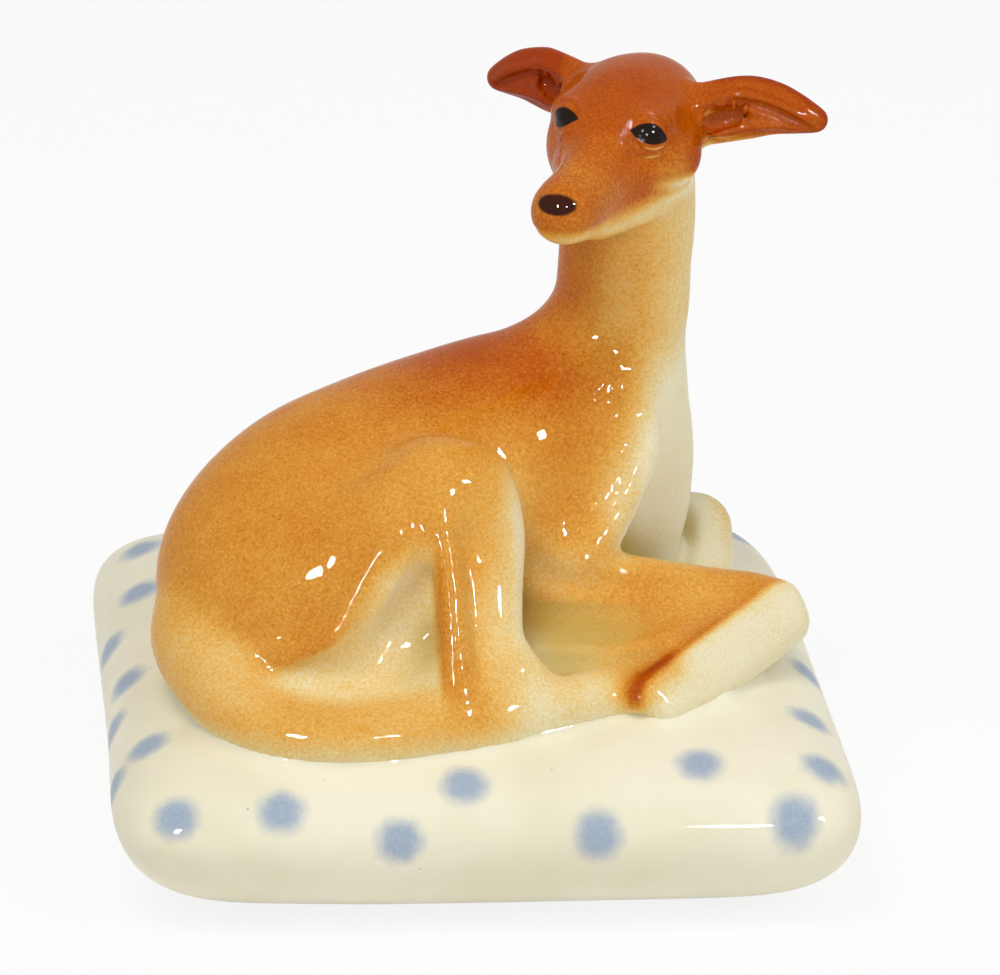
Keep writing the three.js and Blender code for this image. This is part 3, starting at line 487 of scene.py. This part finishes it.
def airbrush(P, N):
    """How brown each point is sprayed: 0 bare glaze, 1 fawn, about 1.7 russet."""
    toward = N @ np.array([-0.30, -0.30, 0.905])
    b = 0.22 + 0.74 * smooth01(toward, -0.85, 0.25)
    for c, r, amount in SPRAYS: b = b + amount * bell(P, c, r)
    away = (P - np.array([47.2, -13.3, 35.4])) @ np.array([0.73, -0.68, 0.0])
    on_paw = smooth01(away, -1.2, 0.8) * smooth01(P[:, 0], 21, 24)
    b = b * (1 - 0.97 * on_paw)
    d, at = along(P, PAW_EDGE)
    b = b + (0.28 + 0.62 * smooth01(at, 0.55, 0.72)) * np.exp(-(d / (1.6 + 1.4 * smooth01(at, 0.55, 0.72))) ** 2)
    # the hollow of the thigh is nearly bare, and so is every edge that lies on the pillow
    edge = np.interp(P[:, 2], [33.6, 36.5, 39.3, 46.4, 53.8], [-34.2, -26.9, -21.1, -17.2, -13.4])
    hollow = smooth01(P[:, 0] - edge, -3.6, 4.2) * (1 - smooth01(P[:, 0], -7.6, -6.4)) * smooth01(-P[:, 1], 27, 30)
    on_tail = 1 - smooth01(TAIL.dist(P).astype(float), 0.0, 4.2)
    leg = b * (1 - 0.72 * hollow * (1 - smooth01(P[:, 2], 47, 56)))
    leg = leg * (1 - 0.62 * (1 - smooth01(P[:, 2], 26.0, 30.5)))
    tail = (b - 0.26) * (1 - 0.6 * (1 - smooth01(P[:, 2], 25.4, 30.4)))
    b = leg * (1 - on_tail) + tail * on_tail
    # neck: dark on the nape and its right side, pale down the front
    neck = smooth01(P[:, 2], 66, 78) * (1 - smooth01(P[:, 2], 99, 103))
    nb = 0.67 - 0.34 * smooth01(N[:, 0], 0.0, 0.9) + 0.50 * smooth01(-N[:, 0], 0.1, 0.95)
    b = b * (1 - neck) + nb * neck
    hd = P - HO
    f, l, u = hd @ HF, hd @ HL, hd @ HU
    on_head = smooth01(P[:, 2], 94, 98) * (1 - smooth01(np.hypot(np.hypot(f - 8, l * 0.7), u + 2), 26, 32))
    hb = 1.34 + 0.14 * bell(P, H(4, 0, 8), (14, 14, 7)) - 0.14 * smooth01(f, 12, 22)
    hb = hb - 0.40 * smooth01(-(u + 0.10 * f), 5.0, 9.5) - 0.95 * smooth01(-(u + 0.10 * f), 7.7, 9.9)
    hb = hb - 0.30 * smooth01(np.abs(l), 6.0, 10.0) * smooth01(-u, -2.0, 6.0) * (1 - smooth01(f, 8, 16))
    hb = hb - 0.95 * smooth01(-N[:, 2], 0.25, 0.8)
    ears = smooth01(np.abs(l), 10.8, 13.0)
    eb = 1.72 - 0.34 * smooth01(N @ HF, 0.2, 0.9) * (l > 0)
    eb = eb - 0.75 * smooth01(-N[:, 2], 0.2, 0.9) * (1 - smooth01(np.abs(l), 20, 25)) * smooth01(-u, 0.6, 2.4)
    hb = hb * (1 - ears) + eb * ears
    b = b * (1 - on_head) + hb * on_head
    return np.clip(b, 0, 2)


def crease_pool_shade(P, N):
    """How deep a point lies in a crease, 0 to 1: the glaze pools greener there, and this mask also paints the crease's
    shade.
    """
    a = 1 - np.clip(skin(P + N * 3.0) / 3.0, 0, 1)
    b = 1 - np.clip(skin(P + N * 6.5) / 6.5, 0, 1)
    # more pooled glaze and painted shade in the recess under the forearm and beside the shank, less high in the thigh's
    # hollow
    more = 0.9 * bell(P, (11, -24, 32), (14, 9, 6)) + 0.45 * bell(P, (-9, -36, 36), (4, 7, 8))
    more = more + 0.3 * bell(P, (11, -24, 32), (14, 9, 6)) - 0.5 * bell(P, (-9, -33, 50), (5, 6, 6))
    return np.clip(0.5 * a + 0.75 * b + more, 0, 1.2) * calm(P)


# Where the modeller's tool left the clay uneven under the glaze, so that its highlights break up
WORKED = [((22, -6, 67), (9, 5, 6), 1.0), ((-29, -37, 37), (7, 4, 5), 1.0), ((-20, -43, 22), (12, 4, 4), 1.0),
          ((2, -44, 25), (6, 4, 4), 1.0), ((18, -24, 36), (16, 8, 6), 0.5), ((22, -12, 52), (4, 4, 8), 0.6),
          ((-5, -38, 44), (3, 4, 12), 0.35), ((-9, -36, 36), (4, 6, 9), 0.6), (H(8, 8, 0), (6, 6, 6), 0.7),
          (H(-3, 16, 2), (6, 6, 6), 1.0), (H(-6, 23, 1), (6, 5, 5), 0.6)]


def worked(P):
    w = np.full(len(P), 0.10)
    for c, r, amount in WORKED: w = w + amount * bell(P, c, r)
    return np.minimum(w, 1.0)


def sink(P, depth=0.9):
    """The same points, moved under the skin where they lie above this depth."""
    for _ in range(6):
        g = grad(skin, P)
        n = np.linalg.norm(g, axis=1, keepdims=True) + 1e-6
        P = P - np.clip(skin(P)[:, None] + depth, 0, 1.5) / n * g / n
    return P


castings = {}
for k, part in enumerate(PARTS):
    V, Q, N = compact(V0, Q0[label == k], N0)
    if part in ("head", "ear_right", "ear_left"):
        for _ in range(2):
            V, Q = split_quads(V, Q)
            V = V + (project(skin, V, 1) - V) * (1 - calm(V))[:, None]
        w = calm(V)[:, None]
        N = unit(unit(grad(skin, V)) * (1 - w) + mesh_normals(V, Q) * w)
    n_skin = len(V)
    faces = Q.tolist()
    # the joint faces inside: each border is drawn in and closed, so every casting is one solid
    extra, extra_n = [], []
    for loop in loops_of(Q):
        L = np.array(loop)
        m = len(L)
        c = V[L].mean(0)
        steps = 1 if m < 70 or skin(V[L] * 0.5 + c * 0.5).max() < -0.6 else 7
        if steps > 1: c = sink(c[None])[0]
        rings = [V[L] - N[L] * 0.6 + (c - V[L]) * (0.7 / (steps + 6))]
        rings += [sink(V[L] + (c - V[L]) * (k / steps)) for k in range(1, steps)]
        base = n_skin + len(extra)
        for ring in rings: extra += ring.tolist()
        extra.append(c.tolist())
        extra_n += np.tile(-N[L], (len(rings), 1)).tolist() + [[0, 0, 1]]
        for i in range(m):
            j = (i + 1) % m
            faces.append([int(L[j]), int(L[i]), base + i, base + j])
            for k in range(len(rings) - 1):
                faces.append([base + k*m + j, base + k*m + i, base + (k+1)*m + i, base + (k+1)*m + j])
            last = base + (len(rings) - 1) * m
            faces.append([last + j, last + i, base + len(rings) * m])
    pad = np.zeros(len(extra))
    # each casting carries its airbrush, its painted crease shade with pooled glaze, and its worked clay as point
    # attributes
    ob = make_mesh("glazed_" + part, np.concatenate([V, np.array(extra).reshape(-1, 3)]), faces,
                   np.concatenate([N, np.array(extra_n).reshape(-1, 3)]),
                   {"brown": np.concatenate([airbrush(V, N), pad]), "pool_shade": np.concatenate([crease_pool_shade(V, N), pad]),
                    "worked": np.concatenate([worked(V), pad])})
    castings[part] = ob
    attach(ob, "root")
    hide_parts(part)

# Pillow
WIDE, DEEP, FLARE, SEAM, CROWN, SQUARE = 109.0, 117.0, 0.03, 15.2, 26.5, 11.5
FULL_TOP, FULL_FOOT = 0.32, 0.42
DOTS = [(-46.6, 42.3, 23.7), (-47.8, 24.9, 23.5), (-53.2, 12.4, 19.4), (-51.3, -5.4, 21.5), (-54, -16.3, 18.2),
        (-49.4, -33.5, 22.7), (-54.3, -36.1, 17.4), (-46.7, -53.3, 20.6), (-31.3, -54.3, 21.2), (-14.4, -57.5, 16.9),
        (-4.5, -52, 22.8), (14.4, -57.5, 16.8), (30, -50.6, 23.4), (42.7, -57.1, 17.1), (48.1, -50.2, 21.7),
        (48.8, -33.8, 23), (51.5, -12, 21), (48.6, 8, 23.2), (53.6, 25.6, 18.6), (47.6, 41.8, 22.6), (37, 56, 19.6),
        (19.5, 50, 23.8), (3.2, 57, 18.2), (-12.8, 49.6, 23.9), (-29, 56.4, 19.8), (30.4, 34, 25.8), (-24, 37, 25.6)]

BEAD = (36.6, -33.4, 25.4)    # a blob of glaze beside the paw


def pillow_profile(lift):
    """Share of the outline's radius, and height, for a lift from -90 degrees below to 90 above."""
    up = lift > 0
    rho = np.maximum(np.cos(lift), 0) ** np.where(up, FULL_TOP, FULL_FOOT)
    return rho, SEAM + np.where(up, CROWN - SEAM, SEAM * 1.1) * np.sin(lift)


def pillow():
    around = 480
    w = np.linspace(0, 2 * np.pi, around, endpoint=False)
    c, s = np.cos(w), np.sin(w)
    power = SQUARE - 6.0 * smooth01(np.where((c > 0) & (s > 0), c * s, 0), 0.02, 0.24)    # the far right corner is rounder
    square = (np.abs(c) ** power + np.abs(s) ** power) ** (-1 / power)
    lifts = np.radians(np.concatenate([np.linspace(-90, 60, 3000), 60 + 30 * (1 - np.linspace(1, 0, 3000) ** 4)]))
    rho, z = pillow_profile(lifts)
    arc = np.concatenate([[0], np.cumsum(np.hypot(np.diff(rho * 55), np.diff(z)))])
    step = 0.65
    spots = np.arange(arc[np.flatnonzero(lifts > np.radians(-89))[0]], arc[-1] - 0.4, step)
    deg = np.interp(spots, arc, lifts)
    P, unglazed = [], []

    def ring(r, zz, round_share=0.0):
        rr = square * (1 - round_share) + round_share
        near = smooth01(-rr * s * r, 0.1, 0.9)
        rr = rr * (1 - 0.035 * near * smooth01(-c, 0.3, 0.8) * (1 - np.clip(zz / SEAM, 0, 1)))
        x = rr * c * r
        return np.stack([x * WIDE / 2 + near * np.where(x < 0, 0.9, 0.0) * x,
                         rr * s * r * DEEP / 2 * (1 + FLARE * x) - near * np.where(x < 0, 2.2, 1.4) * x, zz], -1)
    # underside: blind vent, recess, standing ring
    for r, zz in ((0.001, 12.5), (0.03, 12.5), (0.055, 12.3), (0.0605, 11.5), (0.0625, 6.0), (0.063, 2.2), (0.0655, 1.6), (0.072, 1.3), (0.1, 1.2),
                  (0.2, 1.2), (0.3, 1.2), (0.4, 1.2), (0.425, 1.1), (0.44, 0.6), (0.446, 0.1), (0.455, 0.0), (0.5, 0.0)):
        P.append(ring(r, np.full(around, zz), 1 if r < 0.15 else max(0.0, 1 - (r - 0.15) / 0.25)))
    for a in deg:
        rh, zz = pillow_profile(a)
        if a < 0 and rh < 0.52: continue
        P.append(ring(rh, np.full(around, max(zz, 0.0)), max(0.0, 1 - rh * 4)))
    rows = len(P)
    V = np.concatenate(P + [np.array([[0, 0, CROWN]])])
    V[:, 2] += 0.7 * bell(V, BEAD, (2.4, 2.0, 9))
    # the clay and glaze creep up a little where the hound lies
    top = V[:, 2] > SEAM
    d = np.full(len(V), 9.0)
    d[top] = skin(V[top])
    near = np.flatnonzero(d < 5)
    out = unit(V[near] * np.array([0.004, 0.004, 0]) + np.array([0, 0, 1.0]))
    rise = np.zeros(len(near))
    for _ in range(14):
        gap = smin(rise, skin(V[near] + out * rise[:, None]).astype(float) + 0.8, 3.6)
        rise = np.clip(rise - 0.8 * gap, 0, 2.6)
    V[near] += out * rise[:, None]
    i = np.arange(around)
    j = (i + 1) % around
    faces = []
    for r in range(rows - 1):
        a, b = r * around + i, r * around + j
        faces += np.stack([a, b, b + around, a + around], 1).tolist()
    last = (rows - 1) * around
    faces += [[int(last + x), int(last + y), rows * around] for x, y in zip(i, j)]
    faces.append([int(x) for x in i[::-1]])
    gaps = [np.linalg.norm(V - np.array(p), axis=1) for p in DOTS]
    near = np.min([np.sqrt(np.maximum(g * g - g.min() ** 2, 0)) for g in gaps], 0)
    ob = make_mesh("glazed_cushion", V, faces, None, {"dot": near, "lip": np.exp(-np.maximum(d, 0) / 2.0)})
    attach(ob, "root")
    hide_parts("cushion")
    return ob


cushion = pillow()


# Materials
def lin(r, g, b):
    """Linear colour of a paint named by its 0 to 255 screen values."""
    return [((v / 255) / 12.92 if v / 255 <= 0.04045 else ((v / 255 + 0.055) / 1.055) ** 2.4) for v in (r, g, b)] + [1.0]


class Graph:
    def __init__(self, name):
        self.m = bpy.data.materials.new(name)
        self.m.use_nodes = True
        self.nt = self.m.node_tree
        self.nt.nodes.clear()
        self.out = self.nt.nodes.new("ShaderNodeOutputMaterial")
        self.coord = self.nt.nodes.new("ShaderNodeTexCoord").outputs["Object"]

    def node(self, kind, **props):
        n = self.nt.nodes.new(kind)
        for k, v in props.items(): setattr(n, k, v)
        return n

    def put(self, socket, value):
        if hasattr(value, "is_output"): self.nt.links.new(value, socket)
        else: socket.default_value = value

    def math(self, op, *args, clamp=False):
        n = self.node("ShaderNodeMath", operation=op, use_clamp=clamp)
        for i, a in enumerate(args): self.put(n.inputs[i], a)
        return n.outputs[0]

    def ramp(self, x, a, b):
        n = self.node("ShaderNodeMapRange", interpolation_type="SMOOTHSTEP")
        for k, v in (("Value", x), ("From Min", a), ("From Max", b), ("To Min", 0.0), ("To Max", 1.0)): self.put(n.inputs[k], v)
        return n.outputs["Result"]

    def span(self, x, a, b):
        n = self.node("ShaderNodeMapRange")
        for k, v in (("Value", x), ("From Min", a), ("From Max", b), ("To Min", 0.0), ("To Max", 1.0)): self.put(n.inputs[k], v)
        return n.outputs["Result"]

    def mix(self, f, a, b):
        n = self.node("ShaderNodeMix", data_type="RGBA")
        self.put(n.inputs[0], f); self.put(n.inputs[6], a); self.put(n.inputs[7], b)
        return n.outputs[2]

    def noise(self, size_mm, detail=2.0, rough=0.5):
        n = self.node("ShaderNodeTexNoise")
        self.put(n.inputs["Vector"], self.coord)
        n.inputs["Scale"].default_value = 1000.0 / size_mm
        n.inputs["Detail"].default_value = detail
        n.inputs["Roughness"].default_value = rough
        return n.outputs["Fac"]

    def attr(self, name):
        return self.node("ShaderNodeAttribute", attribute_name=name).outputs["Fac"]

    def specks(self, size_mm, radius):
        n = self.node("ShaderNodeTexVoronoi")
        self.put(n.inputs["Vector"], self.coord)
        n.inputs["Scale"].default_value = 1000.0 / size_mm
        return self.math("SUBTRACT", 1.0, self.ramp(n.outputs["Distance"], radius * 0.5, radius))

    def within(self, centre, axes, radii):
        """Scaled distance from centre in millimetres along three axes: 1 on the ellipsoid."""
        d = self.node("ShaderNodeVectorMath", operation="SUBTRACT")
        self.put(d.inputs[0], self.coord); d.inputs[1].default_value = [c * MM for c in centre]
        parts = []
        for ax, r in zip(axes, radii):
            n = self.node("ShaderNodeVectorMath", operation="DOT_PRODUCT")
            self.nt.links.new(d.outputs[0], n.inputs[0]); n.inputs[1].default_value = list(ax)
            parts.append(self.math("DIVIDE", n.outputs["Value"], r * MM))
        sq = [self.math("MULTIPLY", p, p) for p in parts]
        return parts, self.math("SQRT", self.math("ADD", self.math("ADD", sq[0], sq[1]), sq[2]))

    def glaze(self, colour, rough=0.3, bump=None, coat=0.42):
        p = self.node("ShaderNodeBsdfPrincipled")
        self.put(p.inputs["Base Color"], colour)
        self.put(p.inputs["Roughness"], rough)
        p.inputs["IOR"].default_value = 1.5
        p.inputs["Specular IOR Level"].default_value = 0.0
        p.inputs["Coat Weight"].default_value = coat
        p.inputs["Coat Roughness"].default_value = 0.035
        p.inputs["Coat IOR"].default_value = 1.36
        if bump is not None:
            self.nt.links.new(bump, p.inputs["Normal"])
            self.nt.links.new(bump, p.inputs["Coat Normal"])
        self.nt.links.new(p.outputs[0], self.out.inputs["Surface"])
        return p

    def bump(self, height, dist_mm):
        n = self.node("ShaderNodeBump")
        n.inputs["Strength"].default_value = 1.0
        n.inputs["Distance"].default_value = dist_mm * MM
        self.nt.links.new(height, n.inputs["Height"])
        return n.outputs["Normal"]


IVORY = lin(243, 238, 214)
# paint of the hound, from bare glaze to the darkest russet
TONES = [(0.0, lin(238, 230, 196)), (0.35, lin(234, 204, 134)), (0.7, lin(229, 170, 76)), (1.0, lin(211, 136, 42)),
         (1.3, lin(188, 90, 8)), (1.7, lin(160, 56, 0))]
# the pooled-glaze colour is greener and darker than bare glaze, so it also paints shade into creases
UMBER, POOL_SHADE_COLOUR = lin(110, 40, 6), lin(190, 166, 88)


def hound_glaze():
    g = Graph("hound_glaze")
    grain = g.noise(0.45, 3.0, 0.7)
    mottle = g.noise(7.0, 3.0, 0.55)
    b = g.attr("brown")
    b = g.math("ADD", b, g.math("MULTIPLY", g.math("SUBTRACT", grain, 0.5), 0.95))
    b = g.math("ADD", b, g.math("MULTIPLY", g.math("SUBTRACT", mottle, 0.5), 0.30))
    c = TONES[0][1]
    for (low, _), (high, tone) in zip(TONES, TONES[1:]): c = g.mix(g.span(b, low, high), c, tone)
    # painted shade in the creases, mixed with the greener tint of pooled glaze
    pool_shade = g.math("MULTIPLY", g.ramp(g.attr("pool_shade"), 0.4, 1.15), 0.7)
    c = g.mix(pool_shade, c, POOL_SHADE_COLOUR)
    specks = g.math("MULTIPLY", g.specks(1.1, 0.12), g.ramp(b, 0.2, 0.8))
    c = g.mix(g.math("MULTIPLY", specks, 0.55), c, UMBER)
    # eyes and nose
    for s in (-1, 1):
        centre, n, e1, e2 = eye_frame(s)
        (x, y, z), _ = g.within(centre - e1 * 0.3, (e1, e2, n), (3.2, 1.0, 1.0))
        lid = g.math("SUBTRACT", 1.0, g.math("MULTIPLY", x, x))
        up = g.math("SUBTRACT", y, g.math("MULTIPLY", lid, 1.75))
        dn = g.math("SUBTRACT", g.math("MULTIPLY", lid, -1.35), y)
        edge = g.math("MAXIMUM", up, dn)
        inside = g.math("SUBTRACT", 1.0, g.ramp(edge, -0.12, 0.12))
        inside = g.math("MULTIPLY", inside, g.math("GREATER_THAN", z, 0.8))
        c = g.mix(inside, c, lin(30, 18, 12))
    _, dn = g.within(H(29.4, 0.7, -3.9), (HF, HL, HU), (2.8, 3.1, 1.9))
    c = g.mix(g.math("SUBTRACT", 1.0, g.ramp(dn, 0.95, 1.08)), c, lin(58, 24, 10))
    wave = g.math("ADD", g.math("MULTIPLY", g.noise(9.0, 2.0), 0.7), g.math("MULTIPLY", g.noise(2.2, 1.0), g.attr("worked")))
    g.glaze(c, 0.32, g.bump(wave, 0.30))
    return g.m


def pillow_glaze():
    g = Graph("pillow_glaze")
    mottle = g.noise(16.0, 3.0, 0.5)
    c = g.mix(g.ramp(mottle, 0.35, 0.7), IVORY, lin(236, 230, 202))
    d = g.math("ADD", g.attr("dot"), g.math("MULTIPLY", g.math("SUBTRACT", g.noise(2.2, 3.0, 0.6), 0.5), 1.6))
    blue = g.math("SUBTRACT", 1.0, g.ramp(d, 1.4, 4.8))
    blue = g.math("MULTIPLY", blue, g.math("ADD", 0.72, g.math("MULTIPLY", g.noise(0.5, 2.0), 0.4)))
    c = g.mix(g.math("MULTIPLY", blue, 0.95), c, lin(150, 170, 196))
    c = g.mix(g.math("MULTIPLY", g.specks(5.5, 0.045), 0.4), c, lin(120, 90, 60))
    sep = g.node("ShaderNodeSeparateXYZ")
    g.put(sep.inputs[0], g.coord)
    foot = g.math("SUBTRACT", 1.0, g.ramp(sep.outputs[2], 0.0005, 0.0009))
    c = g.mix(foot, c, lin(208, 200, 184))
    wave = g.math("ADD", g.math("MULTIPLY", g.noise(22.0, 2.0), 1.0), g.math("MULTIPLY", g.noise(1.6, 2.0), 0.01))
    g.glaze(c, 0.32, g.bump(wave, 0.35))
    return g.m


hound, cloth = hound_glaze(), pillow_glaze()
for ob in castings.values(): ob.data.materials.append(hound)
cushion.data.materials.append(cloth)


# Camera, table and lights
def camera(yaw, pitch, dist, target, focal_px):
    y, p = np.radians(yaw), np.radians(pitch)
    fwd = Vector((np.sin(y) * np.cos(p), np.cos(y) * np.cos(p), -np.sin(p)))
    cam = bpy.data.objects.new("view", bpy.data.cameras.new("view"))
    bpy.context.scene.collection.objects.link(cam)
    cam.location = (Vector(target) - fwd * dist) * MM
    cam.rotation_euler = fwd.to_track_quat("-Z", "Y").to_euler()
    cam.data.sensor_width = 36.0
    cam.data.sensor_fit = "HORIZONTAL"
    cam.data.lens = focal_px * 36.0 / 1000.0
    cam.data.clip_start = 0.05
    cam.data.clip_end = 20
    bpy.context.scene.camera = cam


camera(5.8, 21.4, 957, (2.9, -30.2, 60.5), 6551)


def lamp(name, where, size_mm, watts, colour=(1, 1, 1), towards=(0, -10, 50), shape="RECTANGLE", size_y=None):
    L = bpy.data.lights.new(name, "AREA")
    L.energy, L.color, L.shape, L.size = watts, colour, shape, size_mm * MM
    L.size_y = (size_y or size_mm) * MM
    ob = bpy.data.objects.new(name, L)
    bpy.context.scene.collection.objects.link(ob)
    ob.location = Vector(where) * MM
    ob.rotation_euler = (Vector(towards) - Vector(where)).to_track_quat("-Z", "Y").to_euler()
    return ob


for ob in (lamp("key", (-300, -450, 1100), 500, 5.6, (1, 0.99, 0.97)), lamp("fill", (600, -600, 800), 600, 3.1)):
    ob.visible_glossy = False
# three small bright lamps round the camera: each leaves its own highlights in the glaze
for name, az, el, wide, high, watts in (("spark_left", -30, 26, 70, 150, 7.6), ("spark_middle", 6, 23, 70, 70, 3.6),
                                        ("spark_right", 42, 31, 110, 110, 9.0)):
    a, e = np.radians(az), np.radians(el)
    spark = lamp(name, (1000 * np.sin(a) * np.cos(e), -1000 * np.cos(a) * np.cos(e), 1000 * np.sin(e) + 50), wide, watts, size_y=high)
    spark.visible_diffuse = False


def table():
    bpy.ops.mesh.primitive_plane_add(size=8, location=(0, 0, -0.00005))
    ob = bpy.context.object
    ob.name = "table"
    g = Graph("white_table")
    d = g.node("ShaderNodeBsdfPrincipled")
    d.inputs["Base Color"].default_value = (0.92, 0.92, 0.92, 1)
    d.inputs["Roughness"].default_value = 0.9
    d.inputs["Specular IOR Level"].default_value = 0.1
    e = g.node("ShaderNodeEmission")
    e.inputs["Color"].default_value = (1, 1, 1, 1)
    path = g.node("ShaderNodeLightPath")
    m = g.node("ShaderNodeMixShader")
    m.inputs[0].default_value = 0.85
    seen = g.math("MAXIMUM", path.outputs["Is Camera Ray"], path.outputs["Is Glossy Ray"])
    seen = g.math("MAXIMUM", seen, path.outputs["Is Transmission Ray"])
    g.put(m.inputs[0], g.math("MULTIPLY", seen, 0.86))
    g.nt.links.new(d.outputs[0], m.inputs[1])
    g.nt.links.new(e.outputs[0], m.inputs[2])
    g.nt.links.new(m.outputs[0], g.out.inputs["Surface"])
    ob.data.materials.append(g.m)


table()
world = bpy.data.worlds.new("studio")
bpy.context.scene.world = world
world.use_nodes = True
nt = world.node_tree
nt.nodes.clear()
out = nt.nodes.new("ShaderNodeOutputWorld")
bg = nt.nodes.new("ShaderNodeBackground")
path = nt.nodes.new("ShaderNodeLightPath")
mixw = nt.nodes.new("ShaderNodeMath")
mixw.operation = "MULTIPLY_ADD"
seen = None
for kind in ("Is Camera Ray", "Is Glossy Ray", "Is Transmission Ray"):
    if seen is None:
        seen = path.outputs[kind]
        continue
    either = nt.nodes.new("ShaderNodeMath")
    either.operation = "MAXIMUM"
    nt.links.new(seen, either.inputs[0])
    nt.links.new(path.outputs[kind], either.inputs[1])
    seen = either.outputs[0]
nt.links.new(seen, mixw.inputs[0])
mixw.inputs[1].default_value = 0.45
mixw.inputs[2].default_value = 0.55
nt.links.new(mixw.outputs[0], bg.inputs["Strength"])
nt.links.new(bg.outputs[0], out.inputs["Surface"])
bpy.context.scene.view_settings.view_transform = "Standard"
